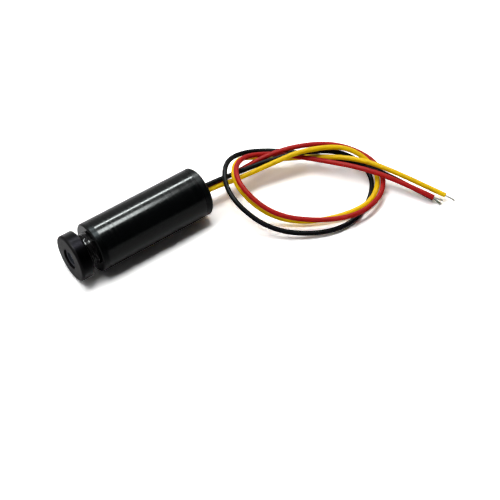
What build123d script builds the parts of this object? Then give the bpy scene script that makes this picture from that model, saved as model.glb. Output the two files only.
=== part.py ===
from build123d import *
import math
import os

os.makedirs("parts", exist_ok=True)

# Adjustable-focus laser diode module with three flying leads.
# Millimetres. The beam leaves along +X and the barrel's axis is the X axis.
# The origin is on that axis, halfway along the barrel. The module lies on a table, with +Z up.

# Barrel
barrel_diameter = 12.0
barrel_wall = 1.0
barrel_front_chamfer = 0.3
seam_chamfer = 0.1
focus_bore_depth = 6.6
web_thickness = 1.5

# Rear cap, pressed into the barrel
rear_cap_thickness = 2.0
rear_cap_step = 0.02
rear_cap_chamfer = 0.5
spigot_length = 2.5
spigot_clearance = 0.03
wire_clearance = 0.14

# Focus cap, screwed into the front of the barrel
cap_step = 0.35
cap_thickness = 3.2
cap_front_rounding = 0.55
cap_rear_rounding = 0.3
cap_gap = 2.3
focus_thread_diameter = 8.0
thread_clearance = 0.05
thread_engagement = 2.2
shank_lead_in = 0.25
recess_diameter = 4.8
recess_depth = 0.5
aperture_diameter = 3.2
aperture_land = 0.5

# Lens and its retaining ring
lens_diameter = 6.0
lens_clearance = 0.05
lens_surface_radius = 4.2
lens_edge_thickness = 0.9
seat_clearance = 0.02
retainer_clearance = 0.02
retainer_thickness = 1.0
retainer_width = 0.83
spanner_slot_width = 0.7
spanner_slot_depth = 0.4

# Spring between the diode's clamp ring and the focus cap
spring_wire_diameter = 0.35
spring_turns = 3.75
spring_corners_per_turn = 8

# Laser diode in its can
stem_diameter = 5.6
stem_thickness = 1.2
stem_clearance = 0.03
stem_notch = 0.4
stem_ledge = 0.5
can_height = 2.35
can_wall = 0.15
can_flange_width = 0.525
can_flange_thickness = 0.15
can_front_width = 0.975
window_lap = 0.4
window_thickness = 0.25
clamp_ring_thickness = 1.0
clamp_ring_clearance = 0.05
post_width = 0.9
post_height = 0.7
post_length = 1.4
submount_length = 0.8
submount_width = 0.7
submount_thickness = 0.2
chip_length = 0.3
chip_width = 0.25
chip_thickness = 0.1
monitor_size = 0.6
monitor_thickness = 0.2
monitor_height = 0.35
lead_diameter = 0.45
lead_can_gap = 0.4
lead_hole_clearance = 0.675
lead_length = 4.6
lead_tip = 0.3
seal_diameter = 1.0

# Driver board and what is soldered to it
board_thickness = 0.5
board_front_gap = 0.6
board_rear_gap = 1.7
board_side_clearance = 0.06
board_lead_gap = 0.015
leg_width = 0.4
leg_thickness = 0.2
ic_length = 4.9
ic_body_width = 3.9
ic_height = 1.5
ic_span = 6.0
ic_leg_pitch = 1.27
ic_legs_per_side = 4
ic_gap = 0.4
transistor_length = 2.9
transistor_body_width = 1.3
transistor_height = 1.0
transistor_span = 2.4
transistor_leg_pitch = 1.9
row_gap = 0.9
row_side_gap = 1.0
resistor_length = 1.6
resistor_width = 0.8
resistor_height = 0.45
chip_end_length = 0.3
chip_end_lift = 0.02
resistor_from_front = 1.7
resistor_offset = 2.9
capacitor_length = 2.0
capacitor_width = 1.25
capacitor_height = 0.9
pad_spacing = 2.2
pad_gap = 0.1
pad_edge = 0.45
solder_radius = 0.7
solder_top_radius = 0.4
solder_cover = 0.2
solder_clearance = 0.01

# Three wires. Each route is a list of corners, and the wire cuts inside them in large arcs.
# An arc may take this share of each run beside it.
wire_diameter = 1.2
conductor_diameter = 0.4
arc_share = 0.45
black_route = [
    (-11.6, 0.0, 0.75), (-18.0, 0.0, 0.75), (-26.0, 0.5, 0.0), (-34.5, 1.3, -0.3),
    (-43.5, 4.5, 0.3), (-52.5, 9.5, -1.2), (-55.0, 17.0, -4.4), (-49.0, 23.0, -5.4),
    (-40.0, 26.0, -5.0), (-31.0, 23.0, -4.8), (-23.0, 16.5, -3.0), (-19.5, 6.5, 1.4),
    (-24.0, -2.0, 2.2), (-32.0, -5.5, -1.2), (-41.0, -1.0, -2.5), (-48.5, 7.5, -2.7),
    (-54.0, 16.0, -1.6), (-58.5, 24.5, -3.4), (-62.0, 31.0, -5.2),
]
red_route = [
    (-11.6, -0.65, -0.4), (-18.0, -0.65, -0.4), (-26.0, -1.0, -0.6), (-34.5, 0.0, 0.2),
    (-43.5, 2.5, 0.8), (-53.0, 7.0, -0.8), (-58.5, 15.5, -3.8), (-53.5, 23.5, -3.8),
    (-44.0, 26.5, -3.4), (-34.5, 22.0, -3.8), (-26.5, 14.0, -2.0), (-23.0, 4.5, 1.9),
    (-28.5, -2.5, 1.3), (-38.0, -0.5, -1.2), (-45.5, 7.5, -1.5), (-52.0, 16.5, -0.8),
    (-57.0, 24.0, -2.0), (-61.5, 31.5, -4.0),
]
yellow_route = [
    (-11.6, 0.65, -0.4), (-18.0, 0.65, -0.4), (-26.0, 1.5, -1.0), (-34.5, 3.0, 0.0),
    (-43.0, 5.0, 1.6), (-53.5, 9.5, 0.2), (-56.5, 17.5, -4.0), (-49.5, 24.0, -3.8),
    (-40.0, 23.0, -4.4), (-31.0, 18.5, -5.0), (-23.0, 11.0, -2.0), (-22.5, 2.0, 2.4),
    (-29.5, -4.0, -0.6), (-39.0, -1.0, -2.0), (-46.0, 6.0, -1.7), (-53.0, 14.0, -0.2),
    (-58.0, 22.0, -1.5), (-62.0, 28.5, -3.3), (-64.4, 32.5, -4.3),
]

# A strand's two bends between its insulation and the board, as shares of the space there.
strand_first_bend = 0.3
strand_last_bend = 0.75

# Each stripped end goes straight on from its wire's tip, and then bends to this place beyond the tip.
strip_straight = 1.0
black_strip = (-0.5, 2.0, -0.5)
red_strip = (-1.7, 1.4, -0.9)
yellow_strip = (-1.4, 1.9, -1.0)

# Radii that follow from the sizes, from the barrel inwards
barrel_radius = barrel_diameter / 2
rear_bore_radius = barrel_radius - barrel_wall
cap_radius = barrel_radius - cap_step
shank_radius = focus_thread_diameter / 2
focus_bore_radius = shank_radius + thread_clearance
lens_radius = lens_diameter / 2
lens_pocket_radius = lens_radius + lens_clearance
stem_radius = stem_diameter / 2
can_flange_radius = stem_radius - stem_ledge
can_radius = can_flange_radius - can_flange_width
can_aperture_radius = can_radius - can_front_width
lead_radius = lead_diameter / 2
lead_circle_radius = can_radius - can_wall - lead_can_gap - lead_radius
lead_hole_radius = lead_circle_radius + lead_radius + lead_hole_clearance
wire_starts = [route[0] for route in (black_route, red_route, yellow_route)]
bundle_radius = max(math.hypot(y, z) for x, y, z in wire_starts) + wire_diameter / 2

# Depths behind the barrel's front face. The board is as long as its parts need,
# and the barrel is as long as what it holds.
stem_front_depth = focus_bore_depth
stem_rear_depth = stem_front_depth + stem_thickness
web_rear_depth = stem_rear_depth + web_thickness
board_front_depth = web_rear_depth + board_front_gap
lead_end_depth = stem_rear_depth + lead_length
lead_joint_depth = lead_end_depth - solder_radius / 2
ic_front_depth = lead_joint_depth + solder_radius + ic_gap
row_front_depth = ic_front_depth + ic_length + row_gap
pad_joint_depth = row_front_depth + transistor_length + pad_gap + solder_radius
board_rear_depth = pad_joint_depth + solder_radius + pad_edge
barrel_length = board_rear_depth + board_rear_gap + spigot_length

# Places along the axis
barrel_front = barrel_length / 2
barrel_rear = -barrel_length / 2
stem_front = barrel_front - stem_front_depth
stem_rear = barrel_front - stem_rear_depth
web_rear = barrel_front - web_rear_depth
board_front = barrel_front - board_front_depth
lead_end = barrel_front - lead_end_depth
lead_joint = barrel_front - lead_joint_depth
ic_centre = barrel_front - ic_front_depth - ic_length / 2
row_centre = barrel_front - row_front_depth - transistor_length / 2
pad_joint = barrel_front - pad_joint_depth
board_rear = barrel_front - board_rear_depth
cap_rear = barrel_front + cap_gap
cap_front = cap_rear + cap_thickness
shank_end = barrel_front - thread_engagement
recess_floor = cap_front - recess_depth
lens_seat = recess_floor - aperture_land
clamp_ring_rear = stem_front + seat_clearance
clamp_ring_front = clamp_ring_rear + clamp_ring_thickness

# Heights of the board, which the diode's two upper leads lie on
board_top = -lead_radius - board_lead_gap
board_bottom = board_top - board_thickness
strand_height = board_top + conductor_diameter / 2 + board_lead_gap


def turned(outline):
    """A solid of revolution about the X axis, from (x, radius) corners."""
    profile = make_face(Polyline(*[(x, radius) for x, radius in outline], close=True))
    return revolve(profile, axis=Axis.X)


def disc(radius, x_from, x_to, y=0.0, z=0.0):
    """A round bar along X, from one place to another."""
    start = Plane(origin=(x_from, y, z), z_dir=(1, 0, 0))
    return extrude(start * Circle(radius), amount=x_to - x_from)


def block(x_from, x_to, y, width, z_from, z_to):
    """A square-edged block, centred on y."""
    middle = ((x_from + x_to) / 2, y, (z_from + z_to) / 2)
    return Pos(*middle) * Box(x_to - x_from, width, z_to - z_from)


def edges_at(solid, x, radius):
    """The round edges of a turned piece that lie at one place and one radius."""
    found = []
    for edge in solid.edges().filter_by(GeomType.CIRCLE):
        centre = edge.arc_center
        if abs(centre.X - x) < 1e-4 and abs(edge.radius - radius) < 1e-4:
            found.append(edge)
    return found


def make_barrel():
    pocket_radius = stem_radius + stem_clearance
    tube = turned([
        (barrel_rear, rear_bore_radius),
        (barrel_rear, barrel_radius),
        (barrel_front, barrel_radius),
        (barrel_front, focus_bore_radius),
        (stem_front, focus_bore_radius),
        (stem_front, pocket_radius),
        (stem_rear, pocket_radius),
        (stem_rear, lead_hole_radius),
        (web_rear, lead_hole_radius),
        (web_rear, rear_bore_radius),
    ])
    tube = chamfer(edges_at(tube, barrel_front, barrel_radius), barrel_front_chamfer)
    tube = chamfer(edges_at(tube, barrel_rear, barrel_radius), seam_chamfer)
    return chamfer(edges_at(tube, barrel_front, focus_bore_radius), seam_chamfer)


def make_rear_cap():
    flange_radius = barrel_radius - rear_cap_step
    spigot_radius = rear_bore_radius - spigot_clearance
    hole_radius = bundle_radius + wire_clearance
    flange_rear = barrel_rear - rear_cap_thickness
    cap = turned([
        (flange_rear, hole_radius),
        (flange_rear, flange_radius),
        (barrel_rear, flange_radius),
        (barrel_rear, spigot_radius),
        (barrel_rear + spigot_length, spigot_radius),
        (barrel_rear + spigot_length, hole_radius),
    ])
    cap = chamfer(edges_at(cap, flange_rear, flange_radius), rear_cap_chamfer)
    cap = chamfer(edges_at(cap, barrel_rear, flange_radius), seam_chamfer)
    return chamfer(edges_at(cap, flange_rear, hole_radius), seam_chamfer)


def make_focus_cap():
    cap = turned([
        (shank_end, lens_pocket_radius),
        (shank_end, shank_radius),
        (cap_rear, shank_radius),
        (cap_rear, cap_radius),
        (cap_front, cap_radius),
        (cap_front, recess_diameter / 2),
        (recess_floor, recess_diameter / 2),
        (recess_floor, aperture_diameter / 2),
        (lens_seat, aperture_diameter / 2),
        (lens_seat, lens_pocket_radius),
    ])
    cap = fillet(edges_at(cap, cap_front, cap_radius), cap_front_rounding)
    cap = fillet(edges_at(cap, cap_rear, cap_radius), cap_rear_rounding)
    cap = chamfer(edges_at(cap, cap_front, recess_diameter / 2), seam_chamfer)
    return chamfer(edges_at(cap, shank_end, shank_radius), shank_lead_in)


def sag(radius):
    """How far the lens's curved face falls back at a radius."""
    return lens_surface_radius - math.sqrt(lens_surface_radius ** 2 - radius ** 2)


# The lens's curved face rests on the rim of the aperture, so its crown stands in the aperture.
lens_crown = lens_seat + sag(aperture_diameter / 2) - seat_clearance
lens_edge_front = lens_crown - sag(lens_radius)
lens_rear = lens_edge_front - lens_edge_thickness
retainer_front = lens_rear - seat_clearance


def make_lens():
    halfway = lens_radius / 2
    rim = (lens_edge_front, lens_radius)
    shoulder = (lens_crown - sag(halfway), halfway)
    outline = [
        Line((lens_crown, 0), (lens_rear, 0)),
        Line((lens_rear, 0), (lens_rear, lens_radius)),
        Line((lens_rear, lens_radius), rim),
        ThreePointArc(rim, shoulder, (lens_crown, 0)),
    ]
    return revolve(make_face(outline), axis=Axis.X)


def slotted_ring(rear, front, outer_radius, inner_radius, slot_face):
    """A clamping ring with two spanner slots across one of its faces."""
    ring = disc(outer_radius, rear, front) - disc(inner_radius, rear, front)
    inward = spanner_slot_depth if slot_face == rear else -spanner_slot_depth
    low = min(slot_face, slot_face + inward)
    high = max(slot_face, slot_face + inward)
    return ring - block(low, high, 0, 2 * outer_radius, -spanner_slot_width / 2, spanner_slot_width / 2)


def make_lens_retainer():
    rear = retainer_front - retainer_thickness
    outer_radius = lens_pocket_radius - retainer_clearance
    return slotted_ring(rear, retainer_front, outer_radius, outer_radius - retainer_width, rear)


def make_diode_clamp_ring():
    outer_radius = focus_bore_radius - retainer_clearance
    inner_radius = can_flange_radius + clamp_ring_clearance
    return slotted_ring(clamp_ring_rear, clamp_ring_front, outer_radius, inner_radius, clamp_ring_front)


def make_focus_spring():
    """A coil between the clamp ring and the end of the cap's shank, on the middle of the shank's wall."""
    wire_radius = spring_wire_diameter / 2
    first = clamp_ring_front + wire_radius + seat_clearance
    last = shank_end - wire_radius - seat_clearance
    steps = round(spring_turns * spring_corners_per_turn)
    half_step = math.pi / spring_corners_per_turn
    # The wire cuts inside its corners, so they stand out from the coil's own radius.
    corner_radius = (lens_pocket_radius + shank_radius) / 2 / math.cos(half_step)
    corners = []
    for step in range(steps + 1):
        angle = 2 * half_step * step
        x = first + (last - first) * step / steps
        corners.append((x, corner_radius * math.cos(angle), corner_radius * math.sin(angle)))
    return round_bar(corners, spring_wire_diameter)


def lead_places():
    """Where the two insulated leads pass through the stem."""
    return [(lead_circle_radius, 0.0), (-lead_circle_radius, 0.0)]


def make_diode_stem():
    stem = disc(stem_radius, stem_rear, stem_front)
    for y, z in lead_places():
        stem -= disc(seal_diameter / 2, stem_rear, stem_front, y, z)
    stem -= block(stem_rear, stem_front, 0, stem_notch, stem_radius - stem_notch, stem_radius + stem_notch)
    post_top = -chip_thickness / 2 - submount_thickness
    return stem + block(stem_front, stem_front + post_length, 0, post_width, post_top - post_height, post_top)


def make_diode_can():
    inner = can_radius - can_wall
    front = stem_front + can_height
    return turned([
        (stem_front, inner),
        (stem_front, can_flange_radius),
        (stem_front + can_flange_thickness, can_flange_radius),
        (stem_front + can_flange_thickness, can_radius),
        (front, can_radius),
        (front, can_aperture_radius),
        (front - can_wall, can_aperture_radius),
        (front - can_wall, inner),
    ])


def make_diode_window():
    front = stem_front + can_height - can_wall
    return disc(can_aperture_radius + window_lap, front - window_thickness, front)


def make_submount():
    front = stem_front + post_length
    top = -chip_thickness / 2
    return block(front - submount_length, front, 0, submount_width, top - submount_thickness, top)


def make_laser_chip():
    front = stem_front + post_length
    return block(front - chip_length, front, 0, chip_width, -chip_thickness / 2, chip_thickness / 2)


def make_monitor_photodiode():
    low = monitor_height - monitor_size / 2
    return block(stem_front, stem_front + monitor_thickness, 0, monitor_size, low, low + monitor_size)


def make_lead_seals():
    seals = []
    for y, z in lead_places():
        bead = disc(seal_diameter / 2, stem_rear, stem_front, y, z)
        seals.append(bead - disc(lead_radius, stem_rear, stem_front, y, z))
    return Compound(children=seals)


def make_diode_leads():
    """Two leads pass through glass beads, and the third is welded to the back of the stem."""
    leads = [disc(lead_radius, lead_end, stem_front + lead_tip, y, z) for y, z in lead_places()]
    leads.append(disc(lead_radius, lead_end, stem_rear, 0, -lead_circle_radius))
    return Compound(children=leads)


def make_driver_board():
    deepest = max(abs(board_top), abs(board_bottom))
    half_chord = math.sqrt(rear_bore_radius ** 2 - deepest ** 2)
    width = 2 * (half_chord - board_side_clearance)
    return block(board_rear, board_front, 0, width, board_bottom, board_top)


def leg(x, side, y, body_width, span, knee_height):
    """One bent leg of a surface-mounted part, from the side of its body down to a flat foot."""
    inside = side * body_width / 2
    outside = side * span / 2
    knee = (inside + outside) / 2
    half = side * leg_thickness / 2
    upper = board_top + knee_height
    foot = board_top + leg_thickness
    outline = [
        (inside, upper), (knee + half, upper), (knee + half, foot), (outside, foot),
        (outside, board_top), (knee - half, board_top), (knee - half, upper - leg_thickness),
        (inside, upper - leg_thickness),
    ]
    corners = [(x - leg_width / 2, y + across, up) for across, up in outline]
    face = make_face(Polyline(*corners, close=True))
    return extrude(face, amount=leg_width, dir=(1, 0, 0))


def moulded_part(x, y, length, body_width, height, span, leg_places):
    """A moulded body with bent legs, given as (distance along X, side)."""
    standoff = leg_thickness / 2
    body = block(x - length / 2, x + length / 2, y, body_width, board_top + standoff, board_top + height)
    for along, side in leg_places:
        body += leg(x + along, side, y, body_width, span, height / 2)
    return body


def make_driver_ic():
    places = []
    for number in range(ic_legs_per_side):
        along = (number - (ic_legs_per_side - 1) / 2) * ic_leg_pitch
        places += [(along, 1), (along, -1)]
    return moulded_part(ic_centre, 0, ic_length, ic_body_width, ic_height, ic_span, places)


def make_drive_transistor():
    half_pitch = transistor_leg_pitch / 2
    places = [(half_pitch, -1), (-half_pitch, -1), (0, 1)]
    y = resistor_width / 2 + row_side_gap + transistor_span / 2
    return moulded_part(row_centre, y, transistor_length, transistor_body_width,
                        transistor_height, transistor_span, places)


def chip_part(x, y, length, width, height, face=board_top, up=1):
    """A ceramic chip part on one face of the board. Its metal ends stand a little proud of its body."""
    top = face + up * height
    ends = block(x - length / 2, x + length / 2, y, width, min(face, top), max(face, top))
    waist = length / 2 - chip_end_length
    for skin, inward in ((face, up), (top, -up)):
        low = min(skin, skin + inward * chip_end_lift)
        ends -= block(x - waist, x + waist, y, width, low, low + chip_end_lift)
    return ends


def make_chip_resistors():
    places = [
        (board_front - resistor_from_front, resistor_offset),
        (board_front - resistor_from_front, -resistor_offset),
        (row_centre, 0.0),
    ]
    return Compound(children=[chip_part(x, y, resistor_length, resistor_width, resistor_height)
                              for x, y in places])


def make_chip_capacitors():
    """One capacitor on top of the board and one right below it."""
    y = -(resistor_width / 2 + row_side_gap + capacitor_width / 2)
    return Compound(children=[
        chip_part(row_centre, y, capacitor_length, capacitor_width, capacitor_height),
        chip_part(row_centre, y, capacitor_length, capacitor_width, capacitor_height, board_bottom, -1),
    ])


def solder_mound(x, y, face, up, bar_radius, bar_z, bar_side):
    """A mound of solder on one face of the board. The bar that it holds comes in from one side and is cut out."""
    height = abs(bar_z - face) + bar_radius + solder_cover
    base = Plane(origin=(x, y, face), z_dir=(0, 0, up))
    mound = base * Cone(solder_radius, solder_top_radius, height, align=(Align.CENTER, Align.CENTER, Align.MIN))
    bar_end = x - bar_side * solder_radius / 2
    away = x + bar_side * 2 * solder_radius
    return mound - disc(bar_radius + solder_clearance, min(bar_end, away), max(bar_end, away), y, bar_z)


def make_solder_joints():
    """The diode's leads come in from the front, and the wires' strands from the rear."""
    mounds = []
    for y, z in lead_places():
        mounds.append(solder_mound(lead_joint, y, board_top, 1, lead_radius, z, 1))
    mounds.append(solder_mound(lead_joint, 0, board_bottom, -1, lead_radius, -lead_circle_radius, 1))
    for row in (-1, 0, 1):
        mounds.append(solder_mound(pad_joint, row * pad_spacing, board_top, 1, conductor_diameter / 2,
                                   strand_height, -1))
    return Compound(children=mounds)


def arc_radii(corners):
    """The radius at each inner corner of a route, as large as the runs beside it allow."""
    radii = []
    for before, corner, after in zip(corners, corners[1:], corners[2:]):
        run_in = Vector(*corner) - Vector(*before)
        run_out = Vector(*after) - Vector(*corner)
        half_turn = math.radians(run_in.get_angle(run_out)) / 2
        radii.append(arc_share * min(run_in.length, run_out.length) / math.tan(half_turn))
    return radii


def round_bar(corners, diameter):
    """A bar of round section along straight runs joined by tangent arcs."""
    path = FilletPolyline(*corners, radius=arc_radii(corners))
    section = Plane(origin=path @ 0, z_dir=path % 0) * Circle(diameter / 2)
    return sweep(section, path=path)


def make_wire(name, route):
    wire = round_bar(route, wire_diameter)
    length = wire.volume / (math.pi * wire_diameter ** 2 / 4)
    radii = [round(radius, 1) for radius in arc_radii(route)]
    print(name, "length", round(length, 1), "radii", radii)
    return wire


def make_conductor(route, strip, row):
    """The bare strand at both ends of a wire: soldered to its pad, and stripped at the tip."""
    x, y, z = route[0]
    pad_y = row * pad_spacing
    space = board_rear - x
    inner = [
        (x, y, z),
        (x + strand_first_bend * space, y, z),
        (x + strand_last_bend * space, pad_y, strand_height),
        (pad_joint + solder_radius / 2, pad_y, strand_height),
    ]
    tip = Vector(*route[-1])
    last_run = tip - Vector(*route[-2])
    outer = [tip, tip + last_run.normalized() * strip_straight, tip + Vector(*strip)]
    ends = [round_bar(corners, conductor_diameter) for corners in (inner, outer)]
    return Compound(children=ends)


pieces = {
    "barrel": make_barrel(),
    "rear_cap": make_rear_cap(),
    "focus_cap": make_focus_cap(),
    "collimating_lens": make_lens(),
    "lens_retainer": make_lens_retainer(),
    "focus_spring": make_focus_spring(),
    "diode_clamp_ring": make_diode_clamp_ring(),
    "diode_stem": make_diode_stem(),
    "diode_can": make_diode_can(),
    "diode_window": make_diode_window(),
    "submount": make_submount(),
    "laser_chip": make_laser_chip(),
    "monitor_photodiode": make_monitor_photodiode(),
    "lead_seals": make_lead_seals(),
    "diode_leads": make_diode_leads(),
    "driver_board": make_driver_board(),
    "driver_ic": make_driver_ic(),
    "drive_transistor": make_drive_transistor(),
    "chip_resistors": make_chip_resistors(),
    "chip_capacitors": make_chip_capacitors(),
    "solder_joints": make_solder_joints(),
    "black_wire": make_wire("black_wire", black_route),
    "red_wire": make_wire("red_wire", red_route),
    "yellow_wire": make_wire("yellow_wire", yellow_route),
    "black_conductor": make_conductor(black_route, black_strip, 0),
    "red_conductor": make_conductor(red_route, red_strip, -1),
    "yellow_conductor": make_conductor(yellow_route, yellow_strip, 1),
}

for name, piece in pieces.items():
    export_step(piece, os.path.join("parts", name + ".step"))
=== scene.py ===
# %% [markdown]
# # A laser diode module
#
# The object is a small black tube that lies on a table. A cap at its front screws in and out to focus the
# beam, and three thin wires come out of its rear, make one loose loop and end in bare strands. The CAD model
# of it is the frame: every piece made below goes where the CAD has it, so nothing needs to be fitted.

# %% The frame
import math

import bmesh
import bpy
from mathutils import Matrix, Vector


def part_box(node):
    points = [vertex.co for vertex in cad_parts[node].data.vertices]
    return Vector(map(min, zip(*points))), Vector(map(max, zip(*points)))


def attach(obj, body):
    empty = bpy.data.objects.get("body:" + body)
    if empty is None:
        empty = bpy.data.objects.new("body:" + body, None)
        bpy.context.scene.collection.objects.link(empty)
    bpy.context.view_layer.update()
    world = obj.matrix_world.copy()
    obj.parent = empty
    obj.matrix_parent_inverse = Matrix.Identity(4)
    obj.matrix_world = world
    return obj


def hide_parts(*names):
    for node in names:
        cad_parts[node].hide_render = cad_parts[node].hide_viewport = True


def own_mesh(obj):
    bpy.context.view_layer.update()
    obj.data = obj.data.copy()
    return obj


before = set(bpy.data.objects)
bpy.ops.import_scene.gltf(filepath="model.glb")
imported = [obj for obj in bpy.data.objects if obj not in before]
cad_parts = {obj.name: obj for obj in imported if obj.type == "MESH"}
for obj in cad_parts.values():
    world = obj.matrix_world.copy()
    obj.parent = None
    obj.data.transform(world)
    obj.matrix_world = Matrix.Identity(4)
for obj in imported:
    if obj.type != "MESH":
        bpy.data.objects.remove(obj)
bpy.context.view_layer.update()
MM = 0.001

# %% [markdown]
# ## Camera
#
# A camera can be placed by eye, or worked out from the edges of the object in a photograph. The second way
# gives the place, the direction and the focal length together, so the outline matches without any nudging.
# The camera stands above the front left, looks down by 50 degrees and is kept level.

# %% Camera
camera_place = Vector((0.09736, 0.17505, 0.22642))
camera_turn = math.radians(53.844)
camera_down = math.radians(50.0)
focal_length_mm = 94.49

forward = Vector((-math.cos(camera_turn) * math.cos(camera_down),
                  -math.sin(camera_turn) * math.cos(camera_down),
                  -math.sin(camera_down)))
right = Vector((-math.sin(camera_turn), math.cos(camera_turn), 0.0))
upward = right.cross(forward)

camera_data = bpy.data.cameras.new("camera")
camera_data.lens = focal_length_mm
camera_data.sensor_width = 36.0
camera_data.clip_start = 0.01
camera = bpy.data.objects.new("camera", camera_data)
bpy.context.collection.objects.link(camera)
axes = Matrix((right, upward, -forward)).transposed().to_4x4()
camera.matrix_world = Matrix.Translation(camera_place) @ axes
bpy.context.scene.camera = camera
print("camera looks along", tuple(round(v, 3) for v in forward))

# %% [markdown]
# ## Wires
#
# Each lead is a stranded core in soft plastic insulation, 1.2 mm thick. One NURBS spline per wire takes
# the route's corners as its control points, so the wire swings from one to the next without a kink. The
# order and the end setting are given after the points, because Blender lowers the order while there are
# too few points. A round bevel on the spline would do for the look, but Blender counts each point's radius
# of 1 m in the box of a curve, and the views from other sides are framed by that box. So the points are
# read off the plain spline, a frame is carried along them that neither spins nor flattens in a bend, and
# rings are joined into a tube.

# %% Routes of the three wires, in millimetres
wire_diameter = 1.2
wire_routes = {
    "black": [
        (-11.6, 0.0, 0.75), (-18.0, 0.0, 0.75), (-26.0, 0.5, 0.0), (-34.5, 1.3, -0.3),
        (-43.5, 4.5, 0.3), (-52.5, 9.5, -1.2), (-55.0, 17.0, -4.4), (-49.0, 23.0, -5.4),
        (-40.0, 26.0, -5.0), (-31.0, 23.0, -4.8), (-23.0, 16.5, -3.0), (-19.5, 6.5, 1.4),
        (-24.0, -2.0, 2.2), (-32.0, -5.5, -1.2), (-41.0, -1.0, -2.5), (-48.5, 7.5, -2.7),
        (-54.0, 16.0, -1.6), (-58.5, 24.5, -3.4), (-62.0, 31.0, -5.2),
    ],
    "red": [
        (-11.6, -0.65, -0.4), (-18.0, -0.65, -0.4), (-25.5, -0.5, -1.3), (-34.5, -0.1, 0.0),
        (-43.5, 2.5, 0.8), (-53.0, 7.0, -0.8), (-58.2, 15.3, -3.7), (-53.4, 23.4, -3.7),
        (-43.5, 26.5, -2.6), (-34.5, 22.5, -2.8), (-25.5, 15.5, -1.0), (-22.4, 5.6, 3.3),
        (-28.0, -2.0, 2.2), (-38.0, -0.5, -1.2), (-45.5, 7.5, -1.5), (-52.0, 16.5, -0.8),
        (-57.0, 24.0, -2.0), (-61.5, 31.5, -4.0),
    ],
    "yellow": [
        (-11.6, 0.65, -0.4), (-18.0, 0.65, -0.4), (-26.0, 1.5, -1.0), (-34.5, 3.0, 0.0),
        (-43.0, 5.0, 1.6), (-53.5, 9.5, 0.2), (-56.5, 17.5, -4.0), (-49.5, 24.0, -3.8),
        (-41.0, 23.5, -4.1), (-31.5, 18.5, -5.2), (-25.0, 12.5, -2.6), (-22.5, 3.8, 2.0),
        (-29.0, -3.4, 0.9), (-38.0, -0.5, -3.6), (-46.0, 6.0, -1.7), (-53.0, 14.0, -0.2),
        (-58.0, 22.0, -1.5), (-62.0, 28.5, -3.3), (-64.4, 32.5, -4.3),
    ],
}
print("corners", {colour: len(route) for colour, route in wire_routes.items()})

# %% Reading the points of a smooth line
line_steps = 12


def read_line(corners):
    """The points of the smooth line of one open spline that starts and ends at the first and last corner."""
    curve = bpy.data.curves.new("line", "CURVE")
    curve.dimensions = "3D"
    curve.resolution_u = line_steps
    spline = curve.splines.new("NURBS")
    spline.points.add(len(corners) - 1)
    for point, (x, y, z) in zip(spline.points, corners):
        point.co = (x * MM, y * MM, z * MM, 1.0)
    spline.order_u = 3
    spline.use_endpoint_u = True
    plain = bpy.data.objects.new("line", curve)
    mesh = bpy.data.meshes.new_from_object(plain)
    line = [vertex.co.copy() for vertex in mesh.vertices]
    bpy.data.objects.remove(plain)
    bpy.data.curves.remove(curve)
    bpy.data.meshes.remove(mesh)
    return line


print("points on the black line", len(read_line(wire_routes["black"])))


# %% Carrying a frame along a line
def frames_along(line):
    """For each point of a line: how far along it is, and two directions across it that don't spin."""
    side = Vector((0.0, 0.0, 1.0))
    travelled = 0.0
    found = []
    for number, point in enumerate(line):
        before = line[max(number - 1, 0)]
        after = line[min(number + 1, len(line) - 1)]
        along = (after - before).normalized()
        side = (side - along * side.dot(along)).normalized()
        travelled += (point - before).length
        found.append((point, travelled, side.copy(), along.cross(side)))
    return found


black_run = frames_along(read_line(wire_routes["black"]))[-1][1]
print("the black line is", round(black_run / MM, 1), "mm long")

# %% Making a piece from points and faces
sharp_angle = math.radians(38)
same_place = 1e-8


def mesh_piece(name, corners, faces):
    """A mesh object with smooth faces that all point outwards."""
    mesh = bpy.data.meshes.new(name)
    mesh.from_pydata(corners, [], faces)
    work = bmesh.new()
    work.from_mesh(mesh)
    bmesh.ops.remove_doubles(work, verts=work.verts, dist=same_place)
    bmesh.ops.recalc_face_normals(work, faces=work.faces)
    work.to_mesh(mesh)
    work.free()
    mesh.shade_smooth()
    mesh.set_sharp_from_angle(angle=sharp_angle)
    made = bpy.data.objects.new(name, mesh)
    bpy.context.collection.objects.link(made)
    return made


print("edges over", round(math.degrees(sharp_angle)), "degrees stay sharp")


# %% Rings and tubes
def ring_around(middle, side, other, diameter, sides):
    """Points on a circle that lies across a line."""
    ring = []
    for step in range(sides):
        angle = 2 * math.pi * step / sides
        ring.append(middle + (side * math.cos(angle) + other * math.sin(angle)) * diameter / 2 * MM)
    return ring


def add_tube(corners, faces, rings):
    """Joins rings of points into a tube, with both ends closed."""
    start = len(corners)
    sides = len(rings[0])
    for ring in rings:
        corners.extend(ring)
    for row in range(len(rings) - 1):
        for side in range(sides):
            near = start + row * sides + side
            beside = start + row * sides + (side + 1) % sides
            faces.append((near, beside, beside + sides, near + sides))
    last = start + (len(rings) - 1) * sides
    faces.append(tuple(range(start + sides - 1, start - 1, -1)))
    faces.append(tuple(range(last, last + sides)))


wire_sides = 24
print("a wire has", wire_sides, "sides")

# %% The three wires
wires = {}
for colour, route in wire_routes.items():
    frames = frames_along(read_line(route))
    corners, faces = [], []
    add_tube(corners, faces, [ring_around(point, side, other, wire_diameter, wire_sides)
                              for point, travelled, side, other in frames])
    wires[colour] = mesh_piece(colour + "_lead", corners, faces)
    print(colour, "wire", round(frames[-1][1] / MM, 1), "mm long,", len(frames), "rings")

# %% [markdown]
# ## Bare ends
#
# At its tip each wire is stripped, and seven tinned strands stick out, a little twisted and bent by hand.
# A single round bar would look like a pin, so each strand is its own thin tube that winds around the middle
# one. The same function makes the hidden ends that are soldered to the board inside the barrel.

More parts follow.
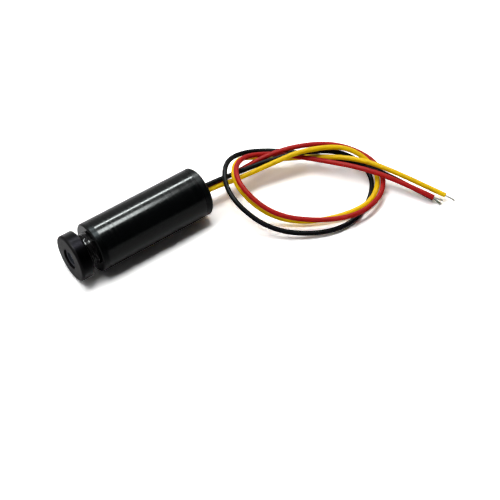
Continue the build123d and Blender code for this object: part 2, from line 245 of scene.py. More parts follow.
# %% Seven twisted strands
strand_count = 7
strand_diameter = 0.135
strand_circle = 0.128
strand_pitch = 3.2
strand_stray = 0.02
strand_sides = 8


def stranded_ends(name, routes, spreads):
    """Twisted strands along each route. A spread says how far they open at the route's free end."""
    corners, faces = [], []
    outer_strands = strand_count - 1
    for route, spread in zip(routes, spreads):
        frames = frames_along(read_line(route))
        whole = frames[-1][1]
        for strand in range(strand_count):
            rings = []
            for point, travelled, side, other in frames:
                share = travelled / whole
                turn = 2 * math.pi * (strand / outer_strands + travelled / (strand_pitch * MM))
                reach = 0.0 if strand == outer_strands else strand_circle + spread * share ** 2
                reach += strand_stray * spread * math.sin(5 * strand)
                middle = point + (side * math.cos(turn) + other * math.sin(turn)) * reach * MM
                rings.append(ring_around(middle, side, other, strand_diameter, strand_sides))
            add_tube(corners, faces, rings)
    return mesh_piece(name, corners, faces)


print("a bundle is", round(2 * strand_circle + strand_diameter, 2), "mm thick")

# %% The three pairs of ends
strip_straight = 1.0
first_bend = 0.3
last_bend = 0.75
tip_bends = {"black": (-0.5, 2.0, -0.42), "red": (-1.7, 1.4, -0.9), "yellow": (-1.4, 1.9, -1.0)}
tip_spreads = {"black": 0.16, "red": 0.03, "yellow": 0.02}
pad_places = {"black": 0.0, "red": -2.2, "yellow": 2.2}
pad_x = -8.3
board_end_x = -9.8
strand_height = -0.025

strands = {}
for colour, route in wire_routes.items():
    x, y, z = route[0]
    space = board_end_x - x
    inner = [
        (x, y, z),
        (x + first_bend * space, y, z),
        (x + last_bend * space, pad_places[colour], strand_height),
        (pad_x, pad_places[colour], strand_height),
    ]
    tip = Vector(route[-1])
    last_run = (tip - Vector(route[-2])).normalized()
    outer = [tip, tip + last_run * strip_straight, tip + Vector(tip_bends[colour])]
    strands[colour] = stranded_ends(colour + "_strands", [inner, outer], [0.0, tip_spreads[colour]])
print("strands", {colour: len(piece.data.polygons) for colour, piece in strands.items()})

for colour, wire in wires.items():
    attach(wire, "housing")
    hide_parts(colour + "_wire")
    "insulation_" + colour
    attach(strands[colour], "housing")
    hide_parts(colour + "_conductor")
    x, y, z = wire_routes[colour][0]

# %% [markdown]
# ## Turned pieces
#
# The barrel, its rear cap and the focus cap come off a lathe, and the lens is ground round, so each is one
# outline spun about the beam's axis. Blender's Screw or Spin would do it too, but a short function gives
# exact rows of points. No real edge is perfectly sharp: a tiny rounding catches a line of light along it.
# The function `softened` therefore rounds each corner of an outline, and puts one more point just beyond
# each end of the rounding, which keeps the flat faces beside it flat in shading.

# %% Outlines with softened corners
hold = 0.35
rounding_steps = 4


def softened(outline):
    """Rounds the corners of a closed outline, given as (x, radius, rounding)."""
    smooth = []
    count = len(outline)
    for number, (x, radius, rounding) in enumerate(outline):
        here = Vector((x, radius))
        back = (Vector(outline[number - 1][:2]) - here).normalized()
        on = (Vector(outline[(number + 1) % count][:2]) - here).normalized()
        if rounding == 0:
            smooth.append(here)
            continue
        smooth.append(here + back * rounding * (1 + hold))
        for step in range(rounding_steps + 1):
            share = step / rounding_steps
            pull = back * rounding * (1 - share) ** 2 + on * rounding * share ** 2
            smooth.append(here + pull)
        smooth.append(here + on * rounding * (1 + hold))
    return smooth


print("a rounded corner has", rounding_steps + 3, "points")

# %% The lathe
turned_sides = 160


def lathe(name, outline, sides=turned_sides, ripple=None):
    """Spins a closed outline about X. A ripple changes the radius by place and angle."""
    corners, faces = [], []
    rows = len(outline)
    for x, radius in outline:
        for side in range(sides):
            angle = 2 * math.pi * side / sides
            here = radius + (ripple(x, radius, angle) if ripple else 0.0)
            corners.append((x * MM, here * math.cos(angle) * MM, here * math.sin(angle) * MM))
    for row in range(rows):
        following = (row + 1) % rows
        for side in range(sides):
            beside = (side + 1) % sides
            faces.append((row * sides + side, row * sides + beside,
                          following * sides + beside, following * sides + side))
    return mesh_piece(name, corners, faces)


print("turned pieces have", turned_sides, "sides")

# %% [markdown]
# ## Barrel and rear cap
#
# The barrel is a 12 mm tube of black anodised aluminium with a small chamfer at its front edge. Inside, a
# web carries the diode's seat and lets its leads through. At the rear a separate cap is pressed in, and only
# a fine seam shows where the two meet. Making them as two turned pieces gives that seam for free, because
# each has its own softened edge.

# %% Barrel
barrel_front = 14.0
barrel_rear = -14.0
barrel_radius = 6.0
front_chamfer = 0.3
rear_bore_radius = 5.0
focus_bore_radius = 4.05
focus_bore_chamfer = 0.1
seat_front = 7.4
seat_floor = 6.2
seat_radius = 2.83
web_rear = 4.7
lead_hole_radius = 1.9

barrel = lathe("barrel_turned", softened([
    (barrel_rear, rear_bore_radius, 0.05),
    (barrel_rear, barrel_radius, 0.1),
    (barrel_front - front_chamfer, barrel_radius, 0.06),
    (barrel_front, barrel_radius - front_chamfer, 0.06),
    (barrel_front, focus_bore_radius + focus_bore_chamfer, 0.03),
    (barrel_front - focus_bore_chamfer, focus_bore_radius, 0.03),
    (seat_front, focus_bore_radius, 0.0),
    (seat_front, seat_radius, 0.0),
    (seat_floor, seat_radius, 0.0),
    (seat_floor, lead_hole_radius, 0.0),
    (web_rear, lead_hole_radius, 0.0),
    (web_rear, rear_bore_radius, 0.0),
]))
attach(barrel, "housing")
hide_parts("barrel")
print("barrel faces", len(barrel.data.polygons))

# %% Rear cap
flange_radius = barrel_radius - 0.02
flange_rear = -16.0
flange_chamfer = 0.5
spigot_front = barrel_rear + 2.5
spigot_radius = 4.97
wire_hole = 1.503
wire_hole_chamfer = 0.1

rear_cap = lathe("rear_cap_turned", softened([
    (flange_rear, wire_hole + wire_hole_chamfer, 0.03),
    (flange_rear, flange_radius - flange_chamfer, 0.12),
    (flange_rear + flange_chamfer, flange_radius, 0.12),
    (barrel_rear, flange_radius, 0.09),
    (barrel_rear, spigot_radius, 0.0),
    (spigot_front, spigot_radius, 0.1),
    (spigot_front, wire_hole, 0.0),
    (flange_rear + wire_hole_chamfer, wire_hole, 0.03),
]))
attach(rear_cap, "housing")
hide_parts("rear_cap")
print("rear cap faces", len(rear_cap.data.polygons))

# %% [markdown]
# ## Focus cap
#
# The cap is a matt black ring with a wide round edge, a shallow recess around the beam's exit and a
# threaded neck that screws into the barrel. The thread could be a picture of lines in a bump map, but its
# crests show in outline between the cap and the barrel, so it is real here: the neck's rows are close
# together, and the ripple lowers each point by how far it is from the crest of a 0.5 mm helix.

# %% Thread of the neck
cap_front = 19.5
cap_rear = 16.3
neck_end = 11.8
neck_radius = 4.0
neck_chamfer = 0.25
neck_rows = 72
thread_pitch = 0.5
thread_depth = 0.28
thread_slope = 2.6
thread_root = 0.12
thread_start = neck_end + 0.2
thread_stop = cap_rear - 0.05
thread_run_out = 0.35
last_row = cap_rear - 0.02


def thread(x, radius, angle):
    """How far the neck's surface lies under the thread's crest."""
    if abs(radius - neck_radius) > 1e-3 or not thread_start < x < thread_stop:
        return 0.0
    turn = (x / thread_pitch - angle / (2 * math.pi)) % 1.0
    height = min(1.0, max(0.0, thread_slope * abs(turn - 0.5) - thread_root))
    run_out = min(1.0, (x - thread_start) / thread_run_out, (thread_stop - x) / thread_run_out)
    return -thread_depth * (1.0 - height) * run_out


neck = []
first_row = neck_end + neck_chamfer
for row in range(neck_rows + 1):
    neck.append(Vector((first_row + (last_row - first_row) * row / neck_rows, neck_radius)))
print("rows on the neck", len(neck))

# %% Focus cap
cap_radius = 5.65
recess_radius = 2.4
recess_chamfer = 0.1
recess_floor = cap_front - 0.5
aperture_radius = 1.6
lens_seat = cap_front - 1.0
pocket_radius = 3.05

body = softened([
    (cap_rear, cap_radius, 0.3),
    (cap_front, cap_radius, 0.55),
    (cap_front, recess_radius + recess_chamfer, 0.06),
    (cap_front - recess_chamfer, recess_radius, 0.03),
    (recess_floor, recess_radius, 0.04),
    (recess_floor, aperture_radius, 0.04),
    (lens_seat, aperture_radius, 0.0),
    (lens_seat, pocket_radius, 0.0),
    (neck_end, pocket_radius, 0.0),
    (neck_end, neck_radius - neck_chamfer, 0.0),
    (neck_end + neck_chamfer, neck_radius, 0.0),
    (cap_rear, neck_radius, 0.0),
])
body = body[:-2] + neck + [Vector((cap_rear, neck_radius))]
focus_cap = lathe("focus_cap_turned", body, ripple=thread)
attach(focus_cap, "cap")
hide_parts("focus_cap")
print("focus cap faces", len(focus_cap.data.polygons))

# %% [markdown]
# ## Lens
#
# Behind the aperture sits a small plano-convex lens. It could be cut from a ball, but an outline for the
# lathe gives its edge and its flat back as well. Its curved face is a true arc, sampled finely, because the
# eye reads a facetted lens at once from the reflection on it.

# %% Lens
lens_sphere = 4.2
lens_crown = 18.7967
lens_radius = 3.0
lens_edge = 0.9
lens_steps = 22
lens_sides = 96


def lens_sag(radius):
    """How far the curved face lies behind its crown."""
    return lens_sphere - math.sqrt(lens_sphere ** 2 - radius ** 2)


dome = []
for step in range(lens_steps + 1):
    radius = lens_radius * step / lens_steps
    dome.append(Vector((lens_crown - lens_sag(radius), radius)))
lens_rear = lens_crown - lens_sag(lens_radius) - lens_edge
flat = [Vector((lens_rear, lens_radius)), Vector((lens_rear, 0.0))]
lens = lathe("lens_ground", dome + flat, sides=lens_sides)
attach(lens, "cap")
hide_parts("collimating_lens")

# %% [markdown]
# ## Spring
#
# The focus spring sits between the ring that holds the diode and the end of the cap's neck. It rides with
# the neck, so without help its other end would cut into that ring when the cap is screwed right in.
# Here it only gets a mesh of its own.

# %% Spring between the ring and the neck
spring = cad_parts["focus_spring"]
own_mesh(spring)

# %% [markdown]
# ## A small language for finishes
#
# A finish is a tree of nodes. Wired by hand it is long to read, so two small classes make it read like a
# formula: `Nodes` adds any node to a tree, and `Value` is one of its outputs, which plain arithmetic works
# on. The expression `1 - mask` adds a Math node by itself.

# %% A value that arithmetic works on
def abilities(kind):
    """The names of what a class can do, for a print."""
    return [key.strip("_") for key in vars(kind) if callable(vars(kind)[key]) and key != "__init__"]


class Value:
    """An output of a node, on which arithmetic adds Math nodes."""

    def __init__(self, nodes, socket):
        self.nodes = nodes
        self.socket = socket

    def math(self, operation, first, second=0.0):
        return self.nodes.add("Math", {"operation": operation}, {0: first, 1: second})

    def __add__(self, other):
        return self.math("ADD", self, other)

    def __sub__(self, other):
        return self.math("SUBTRACT", self, other)

    def __rsub__(self, other):
        return self.math("SUBTRACT", other, self)

    def __mul__(self, other):
        return self.math("MULTIPLY", self, other)

    def __gt__(self, other):
        return self.math("GREATER_THAN", self, other)

    def __lt__(self, other):
        return self.math("LESS_THAN", self, other)

    def __abs__(self):
        return self.math("ABSOLUTE", self)

    __radd__ = __add__
    __rmul__ = __mul__


print("a value can", abilities(Value))


# %% A tree of nodes
class Nodes:
    """A node tree of a material or of the world."""

    def __init__(self, tree):
        self.tree = tree

    def plug(self, socket, value):
        if isinstance(value, Value):
            self.tree.links.new(value.socket, socket)
        else:
            socket.default_value = value

    def add(self, kind, settings=None, sockets=None, out=0):
        """Adds a node, gives it its settings and then the values or links of its sockets."""
        node = self.tree.nodes.new("ShaderNode" + kind)
        for key, setting in (settings or {}).items():
            setattr(node, key, setting)
        for key, value in (sockets or {}).items():
            self.plug(node.inputs[key], value)
        return Value(self, node.outputs[out])

    def step(self, value, low, high):
        """A mask that goes smoothly from 0 at low to 1 at high."""
        return self.add("MapRange", {"interpolation_type": "SMOOTHSTEP"},
                        {"Value": value, "From Min": low, "From Max": high})


print("a tree can", abilities(Nodes))

# %% [markdown]
# ## Patterns that finishes share
#
# Every finish needs variation at several sizes: slow clouds of tone, the marks of the tool, and a fine
# grain. All of them come from noise in the object's own coordinates, in millimetres, so a mark has a real
# size and stays on its piece when the cap turns. A smooth step between two limits turns any of them into a
# mask.

# %% A finish and its patterns
class Finish(Nodes):
    """A material with one shader, whose places are in millimetres."""

    def __init__(self, name, **constants):
        self.material = bpy.data.materials.new(name)
        self.material.use_nodes = True
        super().__init__(self.material.node_tree)
        self.shader = self.tree.nodes["Principled BSDF"]
        local = self.add("TexCoord", out="Object")
        self.place = self.add("VectorMath", {"operation": "SCALE"}, {0: local, "Scale": 1 / MM})
        self.look({key.replace("_", " "): value for key, value in constants.items()})

    def look(self, sockets):
        for name, value in sockets.items():
            self.plug(self.shader.inputs[name], value)

    def axis(self, letter):
        return self.add("SeparateXYZ", None, {0: self.place}, out=letter)

    def noise(self, per_mm, detail=3.0, stretch=(1.0, 1.0, 1.0), rough=0.55):
        """Soft noise from about 0 to 1, with so many blobs to the millimetre."""
        place = self.add("Mapping", None, {"Vector": self.place, "Scale": stretch})
        return self.add("TexNoise", None,
                        {"Vector": place, "Scale": per_mm, "Detail": detail, "Roughness": rough})

    def lines(self, where, per_mm, detail=2.0):
        """Noise along one number alone, such as the tool marks of a lathe."""
        return self.add("TexNoise", {"noise_dimensions": "1D"},
                        {"W": where, "Scale": per_mm, "Detail": detail})

    def blend(self, mask, first, second):
        """A colour between two, by a mask."""
        return self.add("Mix", {"data_type": "RGBA"}, {0: mask, 6: paint(first), 7: paint(second)}, out=2)

    def bump(self, height, microns, under=None):
        """A normal from a height between 0 and 1 that stands for so many micrometres."""
        sockets = {"Height": height, "Distance": microns * 1e-6, "Strength": 1.0}
        if under:
            sockets["Normal"] = under
        return self.add("Bump", None, sockets)


print("a finish can", abilities(Finish))


# %% Paints, and pieces that get a finish
def paint(colour):
    """A colour for a socket: three numbers get their fourth."""
    return colour if isinstance(colour, Value) else (*colour, 1.0)


def coat_pieces(material, *pieces):
    """Gives pieces one material in place of what they had."""
    for piece in pieces:
        piece.data.materials.clear()
        piece.data.materials.append(material)


print("white paint", paint((1.0, 1.0, 1.0)))

# %% [markdown]
# ## Black anodised aluminium
#
# Anodising dyes the metal's oxide skin black, and the skin keeps the fine rings that the lathe left. So the
# barrel is almost black where it shows no light, and its gloss is what tells its shape: a long lamp draws a
# narrow line along it, which the rings roughen a little. The rings are noise along X alone, at two
# spacings, and clouds of handling change the gloss slowly. Along the last 1.5 mm before the front face
# it is duller and mirrors less: there the finish turns from skin to dark metal, because a dark metal mirrors
# only as much as its own colour. How much a skin mirrors is its IOR, which stays the same all over a piece.

# %% Finish of the barrel and its rear cap
dull_from = 12.2
dull_to = 12.6


def turned_black(name, polished, ior):
    """A black skin over turning rings. A lower IOR mirrors less. Polished is its least roughness."""
    finish = Finish(name, IOR=ior)
    along = finish.axis("X") + 0.03 * finish.noise(0.25)
    wide_rings = finish.lines(along, 1.6)
    fine_rings = finish.lines(along, 5.0, detail=1.0)
    clouds = finish.noise(0.22, detail=4.0)
    grain = finish.noise(9.0, detail=2.0)
    rub = finish.step(finish.noise(0.9, stretch=(0.15, 1.0, 1.0), detail=5.0), 0.58, 0.72)
    land = finish.step(finish.axis("X"), dull_from, dull_to)
    face = finish.step(finish.axis("X"), barrel_front - 0.22, barrel_front - 0.05)
    dull = land * (1 - face)
    rings = 0.55 * wide_rings + 0.45 * fine_rings
    finish.look({
        "Base Color": finish.blend(0.6 * rings + 0.4 * clouds, (0.0005, 0.0007, 0.0009),
                                   (0.0026, 0.0032, 0.0034)),
        "Metallic": 0.8 * dull,
        "Roughness": polished + 0.17 * finish.step(rings, 0.35, 0.68) + 0.05 * clouds + 0.05 * rub
        + 0.15 * dull,
        "Normal": finish.bump(grain, 0.25, finish.bump(rings, 1.8)),
    })
    return finish.material


barrel_black = turned_black("barrel_black", polished=0.06, ior=1.20)
rear_cap_black = turned_black("rear_cap_black", polished=0.2, ior=1.14)
coat_pieces(barrel_black, barrel)
coat_pieces(rear_cap_black, rear_cap)
print("black finishes", barrel_black.name, rear_cap_black.name)

# %% [markdown]
# ## Matt black cap
#
# The cap is blasted before it is dyed, so its skin is a fine dull grain with no rings, and it shows light as
# a broad grey sheen. A material for each of its parts would do, but masks by place keep it to one, in which
# the grain runs on from part to part and the limits are soft. The front rim has been touched most, and
# there the grain is smoother. The side mirrors less than the front, so it is dark metal, as on the barrel.
# The thread is cut after blasting and is glossy, which a clear coat gives. The floor of the recess is out of
# the way of most light, and its colour is painted paler: painted light that stands in for the light seen
# there.

# %% Where the parts of the cap's finish are
cap_finish = Finish("cap_black", IOR=1.21, Specular_IOR_Level=0.19, Coat_Roughness=0.12)
along = cap_finish.axis("X")
across = cap_finish.add("VectorMath", {"operation": "MULTIPLY"},
                        {0: cap_finish.place, 1: (0.0, 1.0, 1.0)})
from_axis = cap_finish.add("VectorMath", {"operation": "LENGTH"}, {0: across}, out="Value")
rim = cap_finish.step(along, cap_front - 0.6, cap_front - 0.05)
cut = 1 - cap_finish.step(along, cap_rear - 0.1, cap_rear)
# Painted light: inside the recess and the aperture the colour is paler, standing in for light seen there.
recess_painted_light = (along < recess_floor + 0.05) * (from_axis < recess_radius - 0.04)
side_only = 1 - cap_finish.step(along, cap_front - 0.7, cap_front - 0.4)
flank = cap_finish.step(from_axis, cap_radius - 0.45, cap_radius - 0.15) * side_only
print("the flank's finish starts", round(cap_radius - 0.45, 2), "mm from the axis")

# %% Finish of the focus cap
blasting = cap_finish.noise(7.0, detail=3.0)
pits = cap_finish.noise(16.0, detail=2.0)
touched = cap_finish.noise(0.5, detail=4.0)
skin = cap_finish.blend(0.5 * blasting + 0.5 * touched, (0.0010, 0.0008, 0.0012), (0.0038, 0.0030, 0.0037))
cap_finish.look({
    # The paler colour inside the recess is painted light, not the cap's own colour.
    "Base Color": cap_finish.blend(recess_painted_light, cap_finish.blend(flank, skin, (0.0013, 0.0012, 0.0015)),
                                   (0.040, 0.042, 0.050)),
    "Metallic": flank,
    "Roughness": 0.34 + 0.12 * blasting + 0.08 * touched - 0.05 * rim - 0.12 * flank,
    "Coat Weight": 0.8 * cut,
    "Normal": cap_finish.bump(pits, 4.0, cap_finish.bump(blasting, 9.0)),
})
coat_pieces(cap_finish.material, focus_cap)
print("cap finish", cap_finish.material.name)

# %% [markdown]
# ## Glass
#
# The lens and the window of the diode's can are clear, so what shows is the dark inside of the module and
# a faint blue from the coating that keeps light from bouncing back. Clear glass is a shader that transmits,
# with less gloss than bare glass, and a film of dust keeps it from looking like a hole. The lens lets only
# part of the light through, which leaves it a dark blue body of its own. Glossy black would look much the
# same from here, but not from close by, where the parts behind the glass show.

# %% Finishes of the lens, the window and the glass beads
def clear_glass(name, tint, gloss, film, clearness=1.0):
    """Coated glass with a film of dust on it."""
    finish = Finish(name, IOR=1.52, Transmission_Weight=clearness, Specular_IOR_Level=gloss,
                    Specular_Tint=(0.45, 0.6, 1.0, 1.0))
    haze = finish.noise(1.2, detail=5.0)
    specks = finish.step(finish.noise(6.0, detail=2.0), 0.7, 0.76)
    finish.look({
        "Base Color": finish.blend(haze, tint, [0.8 * part for part in tint]),
        "Roughness": 0.03 + film * haze + 0.2 * specks,
        "Normal": finish.bump(haze, 0.4),
    })
    return finish.material


lens_glass = clear_glass("lens_glass", (0.14, 0.17, 0.24), gloss=0.45, film=0.16, clearness=0.45)
window_glass = clear_glass("window_glass", (0.86, 0.92, 1.0), gloss=0.4, film=0.04)
seal_glass = clear_glass("seal_glass", (0.16, 0.28, 0.45), gloss=0.5, film=0.10)
coat_pieces(lens_glass, lens)
coat_pieces(window_glass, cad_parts["diode_window"])
coat_pieces(seal_glass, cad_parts["lead_seals"])
print("glass", [glass.name for glass in (lens_glass, window_glass, seal_glass)])

# %% [markdown]
# ## Wire insulation
#
# Soft plastic insulation is satin, dyed right through, and very slightly wavy from the way it is pressed
# onto the strands. Drawn wire also has long faint die lines. Noise stretched along the wire would need the
# wire's own direction, so waves at two sizes stand for both, with slow clouds in the dye.

# %% Finishes of the three wires
dyes = {
    "black": ((0.0006, 0.0006, 0.0009), (0.0020, 0.0020, 0.0024), 0.36),
    "red": ((0.38, 0.008, 0.007), (0.47, 0.014, 0.011), 0.42),
    "yellow": ((0.82, 0.52, 0.001), (0.93, 0.61, 0.002), 0.42),
}
for colour, (deep, light, rough) in dyes.items():
    dye = Finish("insulation_" + colour, IOR=1.45, Specular_IOR_Level=0.05)
    clouds = dye.noise(0.3, detail=4.0)
    waves = dye.noise(1.1, detail=2.0)
    skin = dye.noise(12.0, detail=3.0)
    marks = dye.step(dye.noise(2.4, detail=5.0), 0.62, 0.74)
    dye.look({
        "Base Color": dye.blend(0.6 * clouds + 0.4 * skin, deep, light),
        "Roughness": rough + 0.10 * skin + 0.10 * marks,
        "Normal": dye.bump(skin, 2.0, dye.bump(waves, 12.0)),
    })
    coat_pieces(dye.material, wires[colour])
print("dyes", list(dyes))

# %% [markdown]
# ## Bare metals
#
# Brass, steel, nickel, gold plate, tin and solder differ in colour, but are made the same way: a metal whose
# tone changes in slow clouds, with fine lines from drawing or turning and small dull stains. One function
# makes them all, and a table holds what is different.

# %% Finishes of the small metal pieces
def bare_metal(name, bright, dark, rough, lines_stretch, stains):
    """A metal with clouds of tone, drawn lines and dull stains."""
    metal = Finish(name, Metallic=1.0)
    clouds = metal.noise(0.8, detail=4.0)
    drawn = metal.noise(5.0, detail=3.0, stretch=lines_stretch)
    stain = metal.step(metal.noise(2.2, detail=5.0), 0.56, 0.7)
    metal.look({
        "Base Color": metal.blend(stains * stain + 0.5 * clouds, bright, dark),
        "Roughness": rough + 0.14 * drawn + 0.2 * stains * stain,
        "Normal": metal.bump(drawn, 2.0, metal.bump(clouds, 3.0)),
    })
    return metal.material


metals = {
    "ring_brass": ((0.80, 0.62, 0.30), (0.52, 0.36, 0.15), 0.24, (4.0, 0.6, 0.6), 0.4),
    "spring_steel": ((0.62, 0.62, 0.63), (0.36, 0.36, 0.38), 0.24, (0.4, 1.0, 1.0), 0.3),
    "diode_gold": ((0.92, 0.70, 0.32), (0.74, 0.50, 0.18), 0.20, (1.0, 1.0, 1.0), 0.2),
    "can_nickel": ((0.68, 0.66, 0.61), (0.48, 0.46, 0.42), 0.18, (0.5, 2.0, 2.0), 0.2),
    "solder": ((0.72, 0.72, 0.72), (0.42, 0.42, 0.43), 0.26, (1.0, 1.0, 1.0), 0.5),
    "tinned_copper": ((0.50, 0.49, 0.45), (0.30, 0.24, 0.18), 0.30, (0.5, 0.5, 0.5), 0.5),
    "fluxed_copper": ((0.16, 0.18, 0.15), (0.05, 0.06, 0.045), 0.42, (0.5, 0.5, 0.5), 0.5),
}
metal_pieces = {
    "ring_brass": ["lens_retainer", "diode_clamp_ring"],
    "spring_steel": ["focus_spring"],
    "diode_gold": ["diode_stem", "diode_leads"],
    "can_nickel": ["diode_can"],
    "solder": ["solder_joints"],
}
for name, look in metals.items():
    metal = bare_metal(name, *look)
    for node in metal_pieces.get(name, []):
        coat_pieces(metal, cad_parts[node])
    if name == "tinned_copper":
        coat_pieces(metal, strands["red"], strands["yellow"])
    if name == "fluxed_copper":
        coat_pieces(metal, strands["black"])
print("metals", list(metals))

# %% [markdown]
# ## Chips, board and the parts on it
#
# The small parts inside are moulded plastic or fired ceramic with metal ends. Each CAD node is one mesh, so
# a mask by place tells the metal from the body: beyond a part's flanks for bent legs, and beyond its waist
# for the capped ends of a chip part. The same mask drives the colour, the metal and the gloss together.

# %% Where the metal ends are
ic_half_width = 1.96
transistor_middle = 2.6
transistor_half_width = 0.66
resistor_half_length = 0.8
resistor_half_body = 0.5
capacitor_half_body = 0.7
front_resistor_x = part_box("chip_resistors")[1][0] / MM - resistor_half_length
row_x = (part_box("drive_transistor")[0][0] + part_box("drive_transistor")[1][0]) / 2 / MM


def ic_legs(part):
    """Beyond both flanks of the chip."""
    return abs(part.axis("Y")) > ic_half_width


def transistor_legs(part):
    """Beyond both flanks of the transistor."""
    return abs(part.axis("Y") - transistor_middle) > transistor_half_width


def resistor_ends(part):
    """Beyond the waist of the nearer row of resistors."""
    front = abs(part.axis("X") - front_resistor_x)
    behind = abs(part.axis("X") - row_x)
    return front.math("MINIMUM", front, behind) > resistor_half_body


def capacitor_ends(part):
    """Beyond the waist of the capacitors."""
    return abs(part.axis("X") - row_x) > capacitor_half_body


print("row of parts at", round(row_x, 2), "front resistors at", round(front_resistor_x, 2))


# %% Finishes of the parts on the board
def part_finish(name, body, speckle, rough, end_mask):
    """A dull body whose ends, by a mask, are tinned metal."""
    part = Finish(name, IOR=1.5)
    ends = end_mask(part)
    grain = part.noise(14.0, detail=3.0)
    clouds = part.noise(1.0, detail=3.0)
    plain = part.blend(0.6 * grain + 0.4 * clouds, body, speckle)
    part.look({
        "Base Color": part.blend(ends, plain, (0.66, 0.65, 0.63)),
        "Metallic": ends,
        "Roughness": rough + 0.12 * grain - 0.2 * ends,
        "Normal": part.bump(grain, 3.0, part.bump(clouds, 3.0)),
    })
    return part.material


moulding = ((0.018, 0.018, 0.019), (0.035, 0.035, 0.036), 0.5)
board_parts = {
    "driver_ic": (*moulding, ic_legs),
    "drive_transistor": (*moulding, transistor_legs),
    "chip_resistors": ((0.03, 0.03, 0.035), (0.06, 0.06, 0.065), 0.4, resistor_ends),
    "chip_capacitors": ((0.50, 0.36, 0.22), (0.62, 0.48, 0.32), 0.4, capacitor_ends),
}
for node, look in board_parts.items():
    coat_pieces(part_finish(node + "_finish", *look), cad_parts[node])
print("parts on the board", list(board_parts))

# %% Finish of the board
board_middle = -0.49
board_half_thickness = 0.24

board = Finish("board_green", IOR=1.5)
weave = board.noise(5.0, stretch=(1.0, 0.25, 1.0)) * board.noise(5.0, stretch=(0.25, 1.0, 1.0))
tracks = board.step(board.lines(board.axis("Y"), 1.1, detail=0.0), 0.5, 0.53)
edge = abs(board.axis("Z") - board_middle) < board_half_thickness
board.look({
    "Base Color": board.blend(edge, board.blend(tracks, (0.006, 0.10, 0.035), (0.02, 0.19, 0.06)),
                              (0.45, 0.40, 0.22)),
    "Roughness": 0.28 + 0.4 * weave + 0.25 * edge,
    "Normal": board.bump(weave, 4.0, board.bump(tracks, 18.0)),
})
coat_pieces(board.material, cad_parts["driver_board"])
print("board finish", board.material.name)


# %% Finishes of what is in the diode
def fired_body(name, body, speckle, rough, microns):
    """Fired ceramic or silicon with a fine grain."""
    fired = Finish(name, IOR=1.6)
    grain = fired.noise(12.0, detail=4.0)
    clouds = fired.noise(2.0, detail=3.0)
    fired.look({
        "Base Color": fired.blend(0.5 * grain + 0.5 * clouds, body, speckle),
        "Roughness": rough + 0.15 * grain,
        "Normal": fired.bump(grain, microns),
    })
    return fired.material


ceramic = fired_body("submount_ceramic", (0.86, 0.85, 0.81), (0.74, 0.73, 0.68), 0.5, 2.0)
silicon = fired_body("chip_dark", (0.03, 0.03, 0.05), (0.07, 0.06, 0.10), 0.12, 0.3)
coat_pieces(ceramic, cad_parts["submount"])
coat_pieces(silicon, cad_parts["laser_chip"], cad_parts["monitor_photodiode"])
print("materials", len(bpy.data.materials))

# %% [markdown]
# ## Floor
#
# The table is a large sheet of white card. Seen by the camera its colour is lifted above white, so that the
# lamps bring it to the top of the scale and the object's shadow still shows. The light that it throws back
# onto the object is that of plain white card. Far out it turns into plain white light, like the sweep behind
# a product on a studio table, so no horizon shows from low down.

# %% White floor
floor_z = -barrel_radius * MM
half = 2.0
floor_corners = [(x * half, y * half, floor_z) for x, y in ((-1, -1), (1, -1), (1, 1), (-1, 1))]
floor_mesh = bpy.data.meshes.new("floor")
floor_mesh.from_pydata(floor_corners, [], [(0, 1, 2, 3)])
floor = bpy.data.objects.new("floor", floor_mesh)
bpy.context.collection.objects.link(floor)
print("floor at", floor_z)

# %% White card that turns into light far out
card_lift = 1.65
glow_from = 200.0
glow_to = 420.0

card = Finish("white_card", IOR=1.4, Specular_IOR_Level=0.0)
fibres = card.noise(3.0, detail=4.0)
card.look({
    "Base Color": card.blend(fibres, (0.93, 0.93, 0.93), (0.96, 0.96, 0.96)),
    "Roughness": 0.9 + 0.1 * fibres,
    "Normal": card.bump(fibres, 6.0),
})
from_middle = card.add("VectorMath", {"operation": "LENGTH"}, {0: card.place}, out="Value")
far = card.step(from_middle, glow_from, glow_to)
glow = card.add("Emission", None, {"Color": (1.0, 1.0, 1.0, 1.0), "Strength": 1.0})
lit = Value(card, card.shader.outputs[0])
bright = card.add("BsdfDiffuse", None, {"Color": (card_lift, card_lift, card_lift, 1.0)})
seen = card.add("LightPath", out="Is Camera Ray")
near = card.add("MixShader", None, {0: seen, 1: lit, 2: bright})
sheet = card.add("MixShader", None, {0: far, 1: near, 2: glow})
card.plug(card.tree.nodes["Material Output"].inputs["Surface"], sheet)
coat_pieces(card.material, floor)
print("plain light from", glow_to, "mm out")

# %% [markdown]
# ## Light
#
# Black gloss is drawn by what it mirrors, so the lamps are placed where the reflections should lie. The
# angle between the camera and a line on the barrel gives the direction that the line mirrors. A broad lamp
# almost overhead lights the table and gives the soft shadow. A small lamp close above makes the soft grey
# streak, and a long narrow one lower down behind the barrel gives the bright thin line. These two show only
# in gloss, so they add no second shadow. The room is bright behind the module and dark on the camera's side.
# What glass and metal mirror is white at the height of the table, and a pale wall in front of the module
# shows in the cap's face. The camera itself sees white all around.

# %% A flat lamp
aim = Vector((0.0, 0.0, 0.0))
white = (1.0, 1.0, 1.0)
cool = (0.93, 1.0, 0.985)


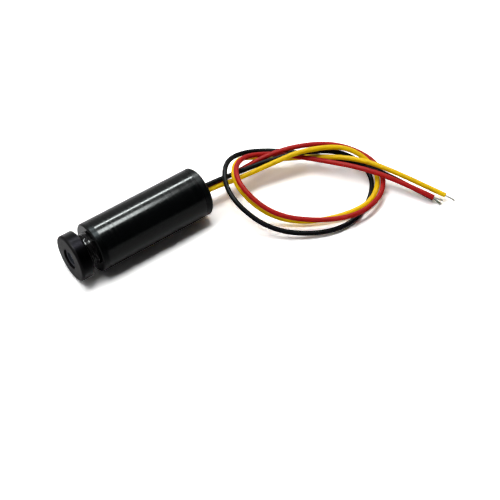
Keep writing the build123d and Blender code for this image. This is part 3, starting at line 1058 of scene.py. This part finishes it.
def panel(name, direction, distance, length, width, brightness, tint=white):
    """A flat lamp that faces the barrel, with its length along X. Brightness 1 shows as white."""
    outward = Vector(direction).normalized()
    along = (Vector((1.0, 0.0, 0.0)) - outward * outward.x).normalized()
    across = outward.cross(along)
    data = bpy.data.lights.new(name, "AREA")
    data.shape = "RECTANGLE"
    data.size = length
    data.size_y = width
    data.energy = math.pi * brightness * length * width
    data.color = tint
    made = bpy.data.objects.new(name, data)
    bpy.context.collection.objects.link(made)
    turned = Matrix((along, across, outward)).transposed().to_4x4()
    made.matrix_world = Matrix.Translation(aim + outward * distance) @ turned
    made.visible_camera = False
    return made


print("every lamp faces", tuple(aim))

# %% Lamps
overhead = panel("overhead_lamp", (0.09, -0.115, 0.99), distance=0.65, length=0.62, width=0.22,
                 brightness=7.5)
strip = panel("strip_lamp", (-0.379, -0.548, 0.747), distance=0.6, length=0.34, width=0.048,
              brightness=140.0, tint=cool)
band = panel("band_lamp", (-0.085, -0.105, 0.97), distance=0.2, length=0.10, width=0.05,
             brightness=70.0, tint=cool)
for lamp in (strip, band):
    lamp.visible_diffuse = False
print("lamps", [round(lamp.data.energy, 2) for lamp in (overhead, strip, band)])

# %% Room around the table
room_bright = 0.8
room_dark = 0.015
wall_bright = 0.9
world = bpy.data.worlds.new("studio")
world.use_nodes = True
bpy.context.scene.world = world
air = Nodes(world.node_tree)
to_camera = air.add("LightPath", out="Is Camera Ray")
mirrors = air.add("LightPath", out="Is Glossy Ray") + air.add("LightPath", out="Is Transmission Ray")
direction = air.add("TexCoord", out="Generated")
ahead, sideways, height = [air.add("SeparateXYZ", None, {0: direction}, out=letter) for letter in "XYZ"]
behind = 1 - air.step(sideways, -0.15, 0.18)
low = 1 - air.step(height, 0.02, 0.16)
horizon = mirrors * low
wall = wall_bright * air.step(ahead, 0.1, 0.6)
room = room_dark + (room_bright - room_dark) * behind + mirrors * wall
unseen = horizon + (1 - horizon) * room
level = to_camera + (1 - to_camera) * unseen
background = world.node_tree.nodes["Background"]
background.inputs["Color"].default_value = (1.0, 1.0, 1.0, 1.0)
air.plug(background.inputs["Strength"], level)
print("room from", room_dark, "to", room_bright)

# %% [markdown]
# ## View and last steps
#
# The view transform is Standard, so a colour shows as it is written.

# %% View
bpy.context.scene.view_settings.view_transform = "Standard"
